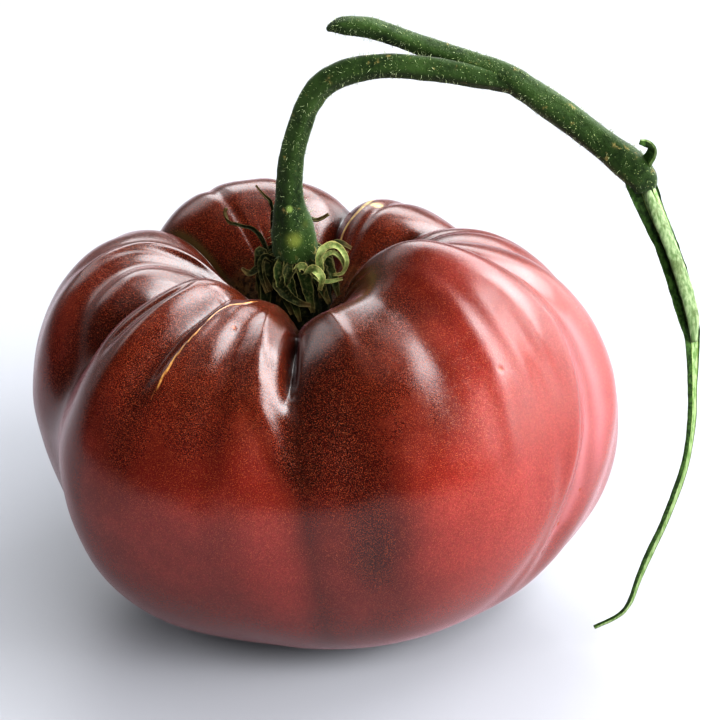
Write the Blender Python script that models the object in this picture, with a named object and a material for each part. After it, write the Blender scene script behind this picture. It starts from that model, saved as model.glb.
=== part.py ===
# A ribbed beefsteak tomato with its calyx, stem and a torn strip of the vine.
# Lengths are written in millimetres and turned into metres by MM.
# The origin is the middle of the flat spot the fruit rests on, +Z up, and -Y faces the viewer.
import math

import bpy
import numpy as np

MM = 0.001

# fruit, measured from the stem axis
FOOT_R = 12.0
PIT_R = 4.0
PIT_Z = 48.7
EQUATOR_Z = 36.9
LEAN_X = 6.0
LEAN_Y = -3.4
LEAN_HEIGHT = 60.0
T_CREST = 0.32
T_EQUATOR = 0.66
ROUND_UP = 1.94
ROUND_LOW = 2.0
CORE = 0.52
HOLLOW = 1.35

# the axis of the stem, from the middle of the foot
AXIS_X = -LEAN_X
AXIS_Y = -LEAN_Y

# lobes: azimuth, reach, crown height, radius of the crest, how hollow the inner wall is
LOBES = [
    (306.6, 48.0, 63.4, 22.6, 1.1),
    (338.0, 51.2, 69.4, 24.5, 0.74),
    (358.0, 53.6, 66.1, 27.0, 1.35),
    (20.0, 48.7, 63.0, 27.9, 1.35),
    (42.9, 42.4, 62.8, 23.4, 1.35),
    (108.3, 40.4, 63.7, 25.1, 1.35),
    (190.5, 48.2, 62.6, 27.8, 1.35),
    (223.6, 52.2, 67.1, 22.2, 1.3),
    (253.1, 46.7, 62.7, 20.5, 0.5),
]

# creases: azimuth, drift towards the foot, width, depth at the rim, depth at the equator, sharpness
CREASES = [
    (269.9, 2.0, 10.3, 5.2, 2.2, 1.0),
    (348.0, -45.0, 5.0, 2.4, 2.2, 1.0),
    (6.0, -40.0, 6.4, 2.4, 1.6, 1.0),
    (31.4, -20.0, 8.1, 3.7, 1.6, 1.0),
    (71.7, 0.0, 8.8, 6.3, 2.0, 1.0),
    (143.0, 0.0, 10.6, 6.0, 3.0, 1.0),
    (205.8, 0.0, 10.0, 9.5, 4.5, 1.0),
    (238.8, 0.0, 5.6, 1.7, 0.3, 1.6),
]

# soft valleys: azimuth and t of the upper end, azimuth and t of the lower end, width, depth
VALLEYS = [
    (165.0, 0.15, 202.0, 0.54, 6.0, 1.5),
    (283.0, 0.44, 285.0, 0.74, 6.0, 1.1),
    (322.0, 0.36, 318.0, 0.70, 6.0, 0.5),
]

# mesh of the fruit
STEPS_BETWEEN_CREASES = 4.6
ROWS_PIT = 11
ROWS_UP = 11
ROWS_LOW = 9


def smooth(x):
    x = np.clip(x, 0.0, 1.0)
    return x * x * (3.0 - 2.0 * x)


def around(azimuth, table, column):
    """Smooth closed interpolation of one column of the lobes."""
    rows = np.array(sorted((row[0] % 360.0, row[column]) for row in table))
    xs = np.concatenate([rows[:, 0] - 360.0, rows[:, 0], rows[:, 0] + 360.0])
    ys = np.tile(rows[:, 1], 3)
    slope = np.zeros_like(ys)
    slope[1:-1] = (ys[2:] - ys[:-2]) / (xs[2:] - xs[:-2])
    a = azimuth % 360.0
    i = np.clip(np.searchsorted(xs, a, side="right") - 1, 0, len(xs) - 2)
    h = xs[i + 1] - xs[i]
    s = (a - xs[i]) / h
    start = (2 * s**3 - 3 * s**2 + 1) * ys[i] + (s**3 - 2 * s**2 + s) * h * slope[i]
    end = (3 * s**2 - 2 * s**3) * ys[i + 1] + (s**3 - s**2) * h * slope[i + 1]
    return start + end


def turn_between(a, b):
    return np.abs((a - b + 180.0) % 360.0 - 180.0)


def crease_azimuth(row, t):
    return row[0] + row[1] * smooth((t - 0.5) / 0.5)


def relief(azimuth, t):
    """How far the skin sinks below the plain lobes."""
    depth = np.zeros_like(azimuth)
    into_pit = smooth(t / (0.5 * T_CREST))
    upper = 1.0 - smooth((t - T_CREST) / (T_EQUATOR - T_CREST))
    lower = 1.0 - smooth((t - T_EQUATOR) / (0.88 - T_EQUATOR))
    soften = smooth((t - 0.37) / 0.2)
    for row in CREASES:
        away = turn_between(azimuth, crease_azimuth(row, t))
        strength = into_pit * (row[4] * lower + (row[3] - row[4]) * upper)
        power = row[5] + (2.0 - row[5]) * soften
        width = row[2] * (1.0 + 0.4 * soften)
        depth += strength * np.exp(-((away / width) ** power))
    for az_a, t_a, az_b, t_b, width, deep in VALLEYS:
        along = (t - t_a) / (t_b - t_a)
        middle = az_a + (az_b - az_a) * np.clip(along, 0.0, 1.0)
        fade = smooth((along + 0.25) / 0.5) * (1.0 - smooth((along - 0.75) / 0.5))
        depth += deep * fade * np.exp(-((turn_between(azimuth, middle) / width) ** 2))
    return depth


def fruit_surface(azimuth, t):
    """Points of the skin: t runs from the pit over the crest and the equator to the foot."""
    reach = around(azimuth, LOBES, 1)
    crown = around(azimuth, LOBES, 2)
    crest = around(azimuth, LOBES, 3)
    s = np.clip(t / T_CREST, 0.0, 1.0)
    rho_in = PIT_R + (crest - PIT_R) * s
    hollow = HOLLOW + (around(azimuth, LOBES, 4) - HOLLOW) * smooth((s - 0.05) / 0.3)
    z_in = PIT_Z + (crown - PIT_Z) * np.sin(0.5 * math.pi * s) ** hollow
    a = 0.5 * math.pi * np.clip((t - T_CREST) / (T_EQUATOR - T_CREST), 0.0, 1.0)
    rho_up = crest + (reach - crest) * np.abs(np.sin(a)) ** (2.0 / ROUND_UP)
    z_up = EQUATOR_Z + (crown - EQUATOR_Z) * np.abs(np.cos(a)) ** (2.0 / ROUND_UP)
    b = 0.5 * math.pi * np.clip((t - T_EQUATOR) / (1.0 - T_EQUATOR), 0.0, 1.0)
    rho_low = FOOT_R + (reach - FOOT_R) * np.abs(np.cos(b)) ** (2.0 / ROUND_LOW)
    z_low = EQUATOR_Z * (1.0 - np.abs(np.sin(b)) ** (2.0 / ROUND_LOW))
    rho = np.where(t < T_CREST, rho_in, np.where(t < T_EQUATOR, rho_up, rho_low))
    z = np.where(t < T_CREST, z_in, np.where(t < T_EQUATOR, z_up, z_low))
    to_core_rho = CORE * reach - rho
    to_core_z = EQUATOR_Z - z
    size = np.hypot(to_core_rho, to_core_z) + 1e-9
    deep = relief(azimuth, t)
    rho = rho + to_core_rho / size * deep
    z = z + to_core_z / size * deep
    lean = 1.0 - z / LEAN_HEIGHT
    x = rho * np.cos(np.radians(azimuth)) + LEAN_X * lean + AXIS_X
    y = rho * np.sin(np.radians(azimuth)) + LEAN_Y * lean + AXIS_Y
    return np.stack([x, y, z], axis=-1)


def fruit_azimuths():
    """Steps round the fruit, closer together beside each crease."""
    middles = sorted(row[0] % 360.0 for row in CREASES)
    found = []
    for k, start in enumerate(middles):
        end = middles[k + 1] if k + 1 < len(middles) else middles[0] + 360.0
        steps = max(3, round((end - start) / STEPS_BETWEEN_CREASES))
        for j in range(steps):
            even = j / steps
            eased = 0.5 - 0.5 * math.cos(math.pi * even)
            found.append((start + (end - start) * (0.55 * even + 0.45 * eased)) % 360.0)
    return sorted(found)


def mesh_object(name, points, faces, colour, roughness):
    mesh = bpy.data.meshes.new(name)
    mesh.from_pydata([tuple(float(c) * MM for c in p) for p in points], [], faces)
    mesh.update()
    for polygon in mesh.polygons:
        polygon.use_smooth = True
    material = bpy.data.materials.new(name)
    material.use_nodes = True
    shader = material.node_tree.nodes["Principled BSDF"]
    shader.inputs["Base Color"].default_value = (*colour, 1.0)
    shader.inputs["Roughness"].default_value = roughness
    shader.inputs["Metallic"].default_value = 0.0
    mesh.materials.append(material)
    obj = bpy.data.objects.new(name, mesh)
    bpy.context.scene.collection.objects.link(obj)
    return obj


def build_fruit():
    azimuths = fruit_azimuths()
    rows = [T_CREST * i / ROWS_PIT for i in range(ROWS_PIT)]
    rows += [T_CREST + (T_EQUATOR - T_CREST) * i / ROWS_UP for i in range(ROWS_UP)]
    rows += [T_EQUATOR + (1.0 - T_EQUATOR) * i / ROWS_LOW for i in range(ROWS_LOW + 1)]
    drift = np.array([crease_azimuth((0.0, -45.0), np.array(t)) for t in rows])
    az = np.empty((len(rows), len(azimuths)))
    for j, t in enumerate(rows):
        for i, a in enumerate(azimuths):
            # the columns of the right-hand side follow the creases that drift there
            right = math.exp(-((float(turn_between(a, 0.0)) / 36.0) ** 2))
            az[j, i] = a + right * float(drift[j]) * 0.95
    tt = np.repeat(np.array(rows)[:, None], len(azimuths), axis=1)
    grid = fruit_surface(az, tt)
    count = len(azimuths)
    points = [tuple(p) for p in grid.reshape(-1, 3)]
    faces = []
    for j in range(len(rows) - 1):
        for i in range(count):
            k = (i + 1) % count
            faces.append((j * count + i, (j + 1) * count + i, (j + 1) * count + k, j * count + k))
    faces.append(tuple(range(count)))
    last = (len(rows) - 1) * count
    faces.append(tuple(last + i for i in reversed(range(count))))
    return mesh_object("fruit", points, faces, (0.36, 0.055, 0.035), 0.32)


def spline(controls, count):
    """A smooth curve through rows of numbers, spaced evenly along its first three."""
    p = np.array(controls, float)
    first = 2 * p[0] - p[1]
    final = 2 * p[-1] - p[-2]
    q = np.vstack([first, p, final])
    fine = []
    for i in range(1, len(q) - 2):
        for s in np.linspace(0.0, 1.0, 24, endpoint=False):
            a, b, c, d = q[i - 1], q[i], q[i + 1], q[i + 2]
            fine.append(
                0.5 * (2 * b + (c - a) * s + (2 * a - 5 * b + 4 * c - d) * s**2 + (3 * b - a - 3 * c + d) * s**3)
            )
    fine.append(p[-1])
    fine = np.array(fine)
    step = np.linalg.norm(np.diff(fine[:, :3], axis=0), axis=1)
    run = np.concatenate([[0.0], np.cumsum(step)])
    want = np.linspace(0.0, run[-1], count)
    return np.stack([np.interp(want, run, fine[:, c]) for c in range(fine.shape[1])], axis=1)


def frames(path, facing):
    """Tangent, side and face directions along a path, the face kept towards one direction."""
    tangent = np.gradient(path, axis=0)
    tangent /= np.linalg.norm(tangent, axis=1, keepdims=True)
    side = np.cross(tangent, np.array(facing, float))
    side /= np.linalg.norm(side, axis=1, keepdims=True)
    face = np.cross(side, tangent)
    return tangent, side, face


def sweep(rings):
    """A closed body from rings of equal size, capped with a fan at both ends."""
    size = len(rings[0])
    points = [tuple(p) for ring in rings for p in ring]
    faces = []
    for j in range(len(rings) - 1):
        for i in range(size):
            k = (i + 1) % size
            faces.append((j * size + i, j * size + k, (j + 1) * size + k, (j + 1) * size + i))
    last = (len(rings) - 1) * size
    start = len(points)
    points.append(tuple(np.mean(rings[0], axis=0)))
    points.append(tuple(np.mean(rings[-1], axis=0)))
    for i in range(size):
        k = (i + 1) % size
        faces.append((start, k, i))
        faces.append((start + 1, last + i, last + k))
    return points, faces


def outward(points, faces):
    """Turns every face round if the body is inside out."""
    p = np.array(points)
    volume = 0.0
    for face in faces:
        for n in range(1, len(face) - 1):
            volume += float(np.dot(p[face[0]], np.cross(p[face[n]], p[face[n + 1]])))
    if volume < 0:
        faces = [tuple(reversed(face)) for face in faces]
    return points, faces


def tube(controls, count, sides, facing=(0.3, -1.0, 0.2)):
    """A round stem: rows of x, y, z and radius."""
    rows = spline(controls, count)
    _, side, face = frames(rows[:, :3], facing)
    rings = []
    for centre, radius, u, v in zip(rows[:, :3], rows[:, 3], side, face):
        ring = []
        for i in range(sides):
            turn = 2.0 * math.pi * i / sides
            ring.append(centre + radius * (math.cos(turn) * u + math.sin(turn) * v))
        rings.append(np.array(ring))
    return outward(*sweep(rings))


def ribbon(controls, count, half, facing):
    """A blade or a channel: rows of x, y, z, width, thickness behind and rise in front.

    A rise below nothing sinks the front into a groove.
    """
    rows = spline(controls, count)
    _, side, face = frames(rows[:, :3], facing)
    rings = []
    for row, u, v in zip(rows, side, face):
        centre, width, behind, rise = row[:3], row[3], row[4], row[5]
        ring = []
        for i in range(half + 1):
            turn = math.pi * i / half
            ring.append(centre - 0.5 * width * math.cos(turn) * u - behind * math.sin(turn) * v)
        for i in range(1, half):
            turn = math.pi * i / half
            ring.append(centre + 0.5 * width * math.cos(turn) * u + rise * math.sin(turn) * v)
        rings.append(np.array(ring))
    return outward(*sweep(rings))


def fused(name, bodies, colour, roughness):
    """Joins bodies into one by a single Boolean union, then removes the ones it used."""
    base = mesh_object(name, *bodies[0], colour, roughness)
    if len(bodies) == 1:
        return base
    group = bpy.data.collections.new(name + "_parts")
    bpy.context.scene.collection.children.link(group)
    for n, body in enumerate(bodies[1:]):
        piece = mesh_object(f"{name}_{n}", *body, colour, roughness)
        bpy.context.scene.collection.objects.unlink(piece)
        group.objects.link(piece)
    union = base.modifiers.new("union", "BOOLEAN")
    union.operation = "UNION"
    union.operand_type = "COLLECTION"
    union.collection = group
    union.solver = "MANIFOLD"
    bpy.context.view_layer.update()
    graph = bpy.context.evaluated_depsgraph_get()
    joined = bpy.data.meshes.new_from_object(base.evaluated_get(graph))
    base.modifiers.clear()
    base.data = joined
    for piece in list(group.objects):
        bpy.data.objects.remove(piece, do_unlink=True)
    bpy.data.collections.remove(group)
    return base


# the stem: x, y, z, radius
PEDICEL = [
    (-6.0, 3.5, 62.6, 3.75),
    (-6.2, 3.5, 65.6, 3.55),
    (-6.5, 3.5, 68.2, 3.1),
    (-6.9, 3.5, 71.2, 2.55),
    (-6.9, 3.5, 75.3, 2.2),
    (-6.6, 3.5, 79.3, 2.05),
    (-5.7, 3.5, 83.5, 1.95),
    (-4.2, 3.5, 88.5, 1.95),
    (-2.0, 3.4, 92.4, 2.05),
    (1.0, 3.0, 94.8, 2.1),
    (4.6, 2.5, 96.2, 2.05),
    (9.4, 1.9, 97.0, 1.95),
    (14.2, 1.1, 97.0, 1.95),
    (19.0, 0.3, 96.7, 1.9),
    (24.0, -0.7, 96.1, 1.8),
    (28.0, -1.2, 95.4, 1.6),
    (31.5, -2.2, 94.2, 1.2),
]
TRUSS = [
    (-0.6, 6.5, 101.2, 0.35),
    (0.6, 6.3, 101.8, 1.0),
    (2.3, 6.0, 102.1, 1.45),
    (6.4, 5.5, 101.9, 1.6),
    (10.6, 4.5, 100.8, 1.55),
    (14.5, 3.5, 99.7, 1.6),
    (18.7, 2.5, 98.7, 1.6),
    (23.4, 1.0, 97.5, 1.8),
    (27.7, -0.5, 96.3, 2.0),
    (32.4, -2.5, 93.9, 2.2),
    (37.4, -4.5, 91.0, 2.35),
    (42.6, -7.0, 87.8, 2.35),
    (46.3, -9.0, 85.6, 2.75),
    (48.9, -10.7, 83.5, 2.6),
    (49.7, -11.4, 81.5, 1.8),
]
# the torn strip: x, y, z, width, thickness behind, rise in front
STRIP = [
    (48.5, -10.6, 84.0, 5.4, 1.6, 0.6),
    (49.7, -11.7, 81.0, 4.9, 1.7, -0.5),
    (51.0, -12.9, 78.0, 4.4, 1.6, -0.7),
    (53.5, -14.7, 72.7, 3.9, 1.5, -0.7),
    (55.4, -16.7, 67.5, 4.0, 1.4, -0.6),
    (57.0, -18.3, 62.2, 3.5, 1.2, -0.5),
    (57.8, -19.2, 58.6, 2.6, 0.9, -0.2),
    (58.1, -20.7, 50.8, 1.7, 0.6, 0.2),
    (58.2, -21.9, 45.3, 1.6, 0.5, 0.2),
    (57.7, -22.9, 39.1, 1.4, 0.5, 0.2),
    (56.6, -23.4, 33.8, 1.5, 0.5, 0.2),
    (54.6, -23.6, 26.5, 1.4, 0.5, 0.2),
    (52.4, -23.6, 20.0, 1.4, 0.5, 0.2),
    (51.0, -23.6, 15.3, 1.2, 0.4, 0.2),
    (49.8, -23.6, 10.6, 1.0, 0.4, 0.2),
    (48.0, -23.6, 7.9, 0.8, 0.4, 0.2),
    (44.1, -23.6, 5.5, 0.7, 0.4, 0.2),
]
PITH = [
    (50.1, -12.9, 81.0, 2.2, -0.1, 0.6),
    (51.3, -13.9, 78.2, 2.3, -0.1, 0.6),
    (53.7, -15.5, 72.9, 2.0, -0.1, 0.6),
    (55.6, -17.4, 67.8, 1.9, -0.1, 0.6),
    (57.0, -18.9, 62.8, 1.5, -0.1, 0.6),
]
CURL = [
    (48.2, -9.9, 84.0, 2.6, 0.5, 0.3),
    (49.8, -11.1, 86.5, 2.2, 0.45, 0.25),
    (50.4, -11.7, 88.5, 1.9, 0.4, 0.2),
    (49.6, -12.1, 89.8, 1.4, 0.4, 0.2),
    (48.3, -12.1, 90.2, 0.8, 0.35, 0.2),
]
STRIP_FACING = (0.35, -0.85, 0.45)

# the calyx: collar as radius and height, then sepals
COLLAR = [(2.6, 49.1), (4.2, 49.9), (5.2, 52.2), (5.4, 55.2), (4.9, 58.6), (4.3, 61.0), (3.9, 62.2)]
COLLAR_SIDES = 16
SEPALS = [
    [(-9.6, 4.6, 57.8, 3.0), (-11.4, 5.9, 63.0, 2.2), (-12.9, 7.3, 64.6, 1.8), (-15.1, 8.4, 64.9, 1.5),
     (-17.3, 9.2, 65.2, 1.2), (-18.1, 9.4, 66.8, 1.0), (-17.9, 9.4, 67.8, 0.7)],
    [(-8.6, 6.6, 57.3, 3.0), (-9.9, 8.1, 63.3, 2.3), (-10.1, 9.4, 68.3, 1.8), (-11.6, 10.3, 69.9, 1.2),
     (-12.7, 10.6, 71.4, 0.7)],
    [(-4.8, 7.0, 57.3, 2.8), (-4.1, 8.6, 62.9, 2.2), (-3.6, 8.0, 66.2, 1.8), (-2.4, 8.1, 66.2, 1.4),
     (-0.6, 8.4, 67.2, 0.8)],
    [(-3.4, 0.0, 58.3, 3.0), (-2.2, -1.5, 61.7, 2.6), (-2.1, -1.6, 64.7, 2.4), (-0.9, -1.5, 66.2, 2.2),
     (0.5, -1.4, 66.4, 2.0), (1.7, -1.4, 65.3, 1.8), (2.4, -1.5, 63.3, 1.5), (1.7, -1.7, 61.4, 1.1),
     (0.2, -2.2, 61.3, 0.8)],
    [(-4.4, -0.7, 59.8, 2.6), (-3.0, -2.5, 62.4, 2.0), (-1.7, -3.5, 61.4, 1.6), (-2.0, -3.7, 59.2, 0.8)],
    [(-8.0, -0.5, 57.8, 3.0), (-8.6, -2.2, 59.2, 2.6), (-7.2, -3.6, 58.1, 2.0), (-5.2, -4.1, 57.0, 1.4),
     (-3.5, -3.7, 56.4, 0.8)],
    [(-10.0, 3.6, 58.3, 2.4), (-11.7, 3.2, 62.7, 2.4), (-12.0, 2.3, 62.0, 2.2), (-11.6, 0.6, 59.7, 1.8),
     (-10.1, -1.2, 57.7, 1.2)],
    [(-3.4, 4.9, 58.8, 2.8), (-1.0, 6.1, 61.4, 2.4), (1.2, 6.5, 62.6, 1.8), (3.2, 6.1, 61.8, 0.9)],
    [(-6.4, 7.2, 57.5, 3.0), (-6.8, 9.6, 61.6, 2.6), (-7.6, 12.0, 62.4, 2.0), (-8.8, 14.0, 61.4, 1.3),
     (-9.4, 15.2, 61.8, 0.8)],
    [(-10.0, 1.6, 57.0, 2.6), (-11.9, 1.2, 60.4, 2.2), (-13.6, 0.4, 60.2, 1.6), (-14.9, 0.2, 61.2, 0.8)],
]
SEPAL_BEHIND = 0.4
SEPAL_RISE = 0.32


def lathe(profile, sides, centre_x, centre_y):
    rings = []
    for radius, height in profile:
        ring = []
        for i in range(sides):
            turn = 2.0 * math.pi * i / sides
            wave = 1.0 + 0.07 * math.cos(5.0 * turn + 0.6)
            ring.append((centre_x + radius * wave * math.cos(turn), centre_y + radius * wave * math.sin(turn), height))
        rings.append(np.array(ring))
    return outward(*sweep(rings))


def sepal(controls):
    rows = [(*row[:3], row[3], SEPAL_BEHIND, SEPAL_RISE) for row in controls]
    middle = np.mean(np.array(controls)[:, :2], axis=0)
    out = (middle[0] - AXIS_X, middle[1] - AXIS_Y, 0.0)
    lift = (out[0] * 0.3 + 0.01, out[1] * 0.3 - 2.0, 3.0)
    return ribbon(rows, 3 * len(rows), 4, lift)


def main():
    for obj in list(bpy.data.objects):
        bpy.data.objects.remove(obj, do_unlink=True)
    build_fruit()
    stem_parts = [
        tube(PEDICEL, 34, 12),
        tube(TRUSS, 38, 12),
        ribbon(STRIP, 44, 6, STRIP_FACING),
        ribbon(CURL, 10, 4, (-0.6, -0.7, 0.3)),
    ]
    fused("stem", stem_parts, (0.10, 0.17, 0.06), 0.6)
    fused("pith", [ribbon(PITH, 14, 4, STRIP_FACING)], (0.62, 0.68, 0.42), 0.7)
    calyx_parts = [lathe(COLLAR, COLLAR_SIDES, AXIS_X, AXIS_Y)] + [sepal(rows) for rows in SEPALS]
    fused("calyx", calyx_parts, (0.09, 0.09, 0.04), 0.7)


main()
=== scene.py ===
import math

import bpy
import numpy as np
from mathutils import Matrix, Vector


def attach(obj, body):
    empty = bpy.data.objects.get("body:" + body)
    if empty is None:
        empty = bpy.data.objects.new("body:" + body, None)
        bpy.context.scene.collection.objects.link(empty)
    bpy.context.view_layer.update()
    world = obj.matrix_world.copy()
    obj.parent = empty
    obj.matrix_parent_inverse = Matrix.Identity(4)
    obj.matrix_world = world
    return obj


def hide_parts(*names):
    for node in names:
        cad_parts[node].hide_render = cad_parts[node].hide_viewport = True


MM = 0.001
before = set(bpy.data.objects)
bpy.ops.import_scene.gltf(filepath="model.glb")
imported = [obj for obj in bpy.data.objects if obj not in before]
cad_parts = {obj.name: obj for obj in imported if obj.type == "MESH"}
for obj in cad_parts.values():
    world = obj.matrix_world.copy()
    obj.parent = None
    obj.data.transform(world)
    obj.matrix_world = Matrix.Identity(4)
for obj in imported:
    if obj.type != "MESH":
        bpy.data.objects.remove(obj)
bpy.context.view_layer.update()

# fruit, measured from the stem axis: the same named values as the solid
FOOT_R = 12.0
PIT_R = 4.0
PIT_Z = 48.7
EQUATOR_Z = 36.9
LEAN_X = 6.0
LEAN_Y = -3.4
LEAN_HEIGHT = 60.0
T_CREST = 0.32
T_EQUATOR = 0.66
ROUND_UP = 1.94
ROUND_LOW = 2.0
CORE = 0.52
HOLLOW = 1.35
AXIS_X = -LEAN_X
AXIS_Y = -LEAN_Y

# lobes: azimuth, reach, crown height, radius of the crest, how hollow the inner wall is
LOBES = [
    (306.6, 48.0, 63.4, 22.6, 1.1),
    (338.0, 51.2, 69.4, 24.5, 0.74),
    (358.0, 53.6, 66.1, 27.0, 1.35),
    (20.0, 48.7, 63.0, 27.9, 1.35),
    (42.9, 42.4, 62.8, 23.4, 1.35),
    (108.3, 40.4, 63.7, 25.1, 1.35),
    (190.5, 48.2, 62.6, 27.8, 1.35),
    (223.6, 52.2, 67.1, 22.2, 1.3),
    (253.1, 46.7, 62.7, 20.5, 0.5),
]
# creases: azimuth, drift towards the foot, width, depth at the rim, depth at the equator, sharpness
CREASES = [
    (269.9, 2.0, 10.3, 5.2, 2.2, 1.0),
    (348.0, -45.0, 5.0, 2.4, 2.2, 1.0),
    (6.0, -40.0, 6.4, 2.4, 1.6, 1.0),
    (31.4, -20.0, 8.1, 3.7, 1.6, 1.0),
    (71.7, 0.0, 8.8, 6.3, 2.0, 1.0),
    (143.0, 0.0, 10.6, 6.0, 3.0, 1.0),
    (205.8, 0.0, 10.0, 9.5, 4.5, 1.0),
    (238.8, 0.0, 5.6, 1.7, 0.3, 1.6),
]
# soft valleys: azimuth and t of the upper end, azimuth and t of the lower end, width, depth
VALLEYS = [
    (165.0, 0.15, 202.0, 0.54, 6.0, 1.5),
    (283.0, 0.44, 285.0, 0.74, 6.0, 1.1),
    (322.0, 0.36, 318.0, 0.70, 6.0, 0.5),
]
# fine folds of the skin, for the render only: same columns, a negative depth is a ridge
FINE_FOLDS = [
    (163.0, 0.20, 174.0, 0.36, 3.0, 0.5),
    (156.0, 0.15, 179.0, 0.42, 2.2, -0.5),
    (172.0, 0.36, 186.0, 0.60, 5.0, 0.5),
    (226.0, 0.34, 220.5, 0.46, 1.7, 0.6),
    (228.5, 0.34, 226.0, 0.52, 2.4, -0.45),
    (237.0, 0.32, 233.0, 0.50, 2.6, 1.3),
    (241.0, 0.32, 238.0, 0.50, 2.2, -0.55),
    (251.0, 0.33, 249.0, 0.60, 4.5, 0.9),
    (258.0, 0.26, 261.0, 0.48, 3.0, -0.6),
    (261.0, 0.47, 267.0, 0.57, 2.6, -0.45),
    (269.5, 0.26, 267.5, 0.44, 1.8, 2.4),
    (287.0, 0.26, 288.0, 0.40, 3.0, -0.45),
    (312.0, 0.34, 305.0, 0.52, 6.0, 0.5),
    (323.0, 0.34, 316.0, 0.62, 3.5, -0.55),
    (331.0, 0.44, 326.0, 0.70, 3.0, 0.5),
    (341.0, 0.50, 320.0, 0.80, 2.6, -0.5),
    (20.0, 0.20, 12.0, 0.60, 2.0, 0.3),
    (52.0, 0.20, 52.0, 0.60, 3.0, 0.4),
    (95.0, 0.15, 95.0, 0.60, 3.0, 0.45),
    (122.0, 0.15, 121.0, 0.55, 2.6, 0.35),
    (108.0, 0.40, 108.0, 0.75, 4.0, 0.4),
    (160.0, 0.40, 162.0, 0.70, 3.0, 0.35),
]
# the golden crack of the front left rib: where it runs, its span (start, rise, end, fall in t), and width
CRACK_T = [0.20, 0.285, 0.322, 0.345, 0.40, 0.45, 0.50]
CRACK_AZIMUTH = [249.5, 246.0, 242.3, 240.4, 239.4, 238.3, 237.5]
CRACK_SPAN = (0.20, 0.05, 0.46, 0.06)
CRACK_WIDTH = 0.52
CRACK_NARROWING = 0.26
# the pale scar of the back crease, and its wide end: azimuth, t and their widths
SCAR_AZIMUTH = 66.0
SCAR_DRIFT = 6.5
SCAR_WIDTH = 1.1
SCAR_SPAN = (0.15, 0.05, 0.34, 0.04)
SCAR_END = (55.5, 0.325, 5.5, 0.022)
# the green line on the floor of a back crease: azimuth, width
GREEN_LINE = (142.0, 1.3)
# rosier skin: azimuth, t, widths in azimuth and t, strength
ROSY = [
    (308.0, 0.74, 22.0, 0.15, 1.0),
    (338.0, 0.45, 16.0, 0.14, 0.7),
    (262.0, 0.56, 9.0, 0.12, 0.6),
    (250.0, 0.80, 30.0, 0.10, 0.6),
    (20.0, 0.60, 30.0, 0.20, 0.5),
    (110.0, 0.72, 40.0, 0.14, 0.6),
    (200.0, 0.72, 30.0, 0.14, 0.5),
]
# pale bloom and painted sheen on the right flank: azimuth, t and their widths, then t and azimuth along each
# painted highlight streak
BLOOM_AND_SHEEN = (347.0, 0.66, 17.0, 0.14)
HIGHLIGHT_STREAK_WIDTH = 2.0
HIGHLIGHT_STREAKS = [
    ([0.50, 0.58, 0.64, 0.70, 0.73, 0.75, 0.80], [341.0, 340.0, 339.0, 334.0, 330.0, 324.0, 321.0]),
    ([0.47, 0.51, 0.55, 0.60, 0.64, 0.69, 0.73], [345.0, 349.0, 348.0, 346.0, 344.0, 340.0, 335.0]),
    ([0.46, 0.52, 0.58, 0.64, 0.70, 0.76, 0.82], [359.0, 358.0, 356.0, 353.0, 349.0, 343.0, 336.0]),
]
# pits in the skin: azimuth, t, radius
PITS = [
    (320.0, 0.501, 0.55),
    (334.0, 0.639, 0.45),
    (335.0, 0.703, 0.45),
    (329.0, 0.733, 0.5),
    (325.0, 0.758, 0.4),
    (248.0, 0.358, 0.45),
    (342.0, 0.272, 0.45),
    (60.0, 0.55, 0.45),
    (118.0, 0.6, 0.5),
    (171.0, 0.66, 0.45),
    (89.0, 0.42, 0.4),
]
# how far down the brown shoulder reaches: azimuth, t
BROWN_REACH = [
    (20.0, 0.40),
    (45.0, 0.45),
    (108.0, 0.50),
    (190.0, 0.50),
    (225.0, 0.54),
    (252.0, 0.56),
    (272.0, 0.56),
    (290.0, 0.55),
    (306.0, 0.46),
    (320.0, 0.35),
    (338.0, 0.29),
    (358.0, 0.36),
]
# stripes of painted shade down the valleys and creases of the skin: same columns as the folds, the depth is
# how strong they are
VALLEY_SHADE_STRIPES = [
    (277.0, 0.30, 284.0, 0.76, 7.5, 1.0),
    (270.0, 0.30, 270.0, 0.60, 5.0, 0.9),
    (271.0, 0.46, 271.0, 0.90, 4.0, 0.4),
    (249.0, 0.36, 247.0, 0.58, 6.0, 0.45),
    (236.0, 0.34, 233.0, 0.60, 4.0, 0.8),
    (222.0, 0.36, 224.0, 0.70, 3.0, 0.35),
    (199.0, 0.24, 201.0, 0.66, 7.0, 0.75),
    (309.0, 0.34, 300.0, 0.56, 5.0, 0.35),
]
# how fine the skin's mesh is: columns round it, and rows in the pit, above and below the equator
COLUMNS = 760
ROWS_PIT = 110
ROWS_UP = 140
ROWS_LOW = 110
# how the columns drift on the right flank, to follow its slanting creases: width, turn towards the foot
RIGHT_WIDTH = 36.0
RIGHT_DRIFT = (0.0, -45.0)
RIGHT_SHARE = 0.95


def smooth(x):
    x = np.clip(x, 0.0, 1.0)
    return x * x * (3.0 - 2.0 * x)


NOISE_SIZE = 64
NOISE_TABLE = np.random.default_rng(11).uniform(-1.0, 1.0, (NOISE_SIZE,) * 3)


def noise3(p, scale, seed=0):
    """Smooth value noise of points p, one bump every 'scale' units, from -1 to 1."""
    q = np.asarray(p, float) / scale + 17.3 * seed + 0.37
    base = np.floor(q).astype(int)
    f = q - base
    f = f * f * (3.0 - 2.0 * f)
    total = np.zeros(q.shape[:-1])
    for dx in (0, 1):
        for dy in (0, 1):
            for dz in (0, 1):
                weight = (
                    np.abs(1 - dx - f[..., 0]) * np.abs(1 - dy - f[..., 1]) * np.abs(1 - dz - f[..., 2])
                )
                total += weight * NOISE_TABLE[
                    (base[..., 0] + dx) % NOISE_SIZE,
                    (base[..., 1] + dy) % NOISE_SIZE,
                    (base[..., 2] + dz) % NOISE_SIZE,
                ]
    return total


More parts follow.
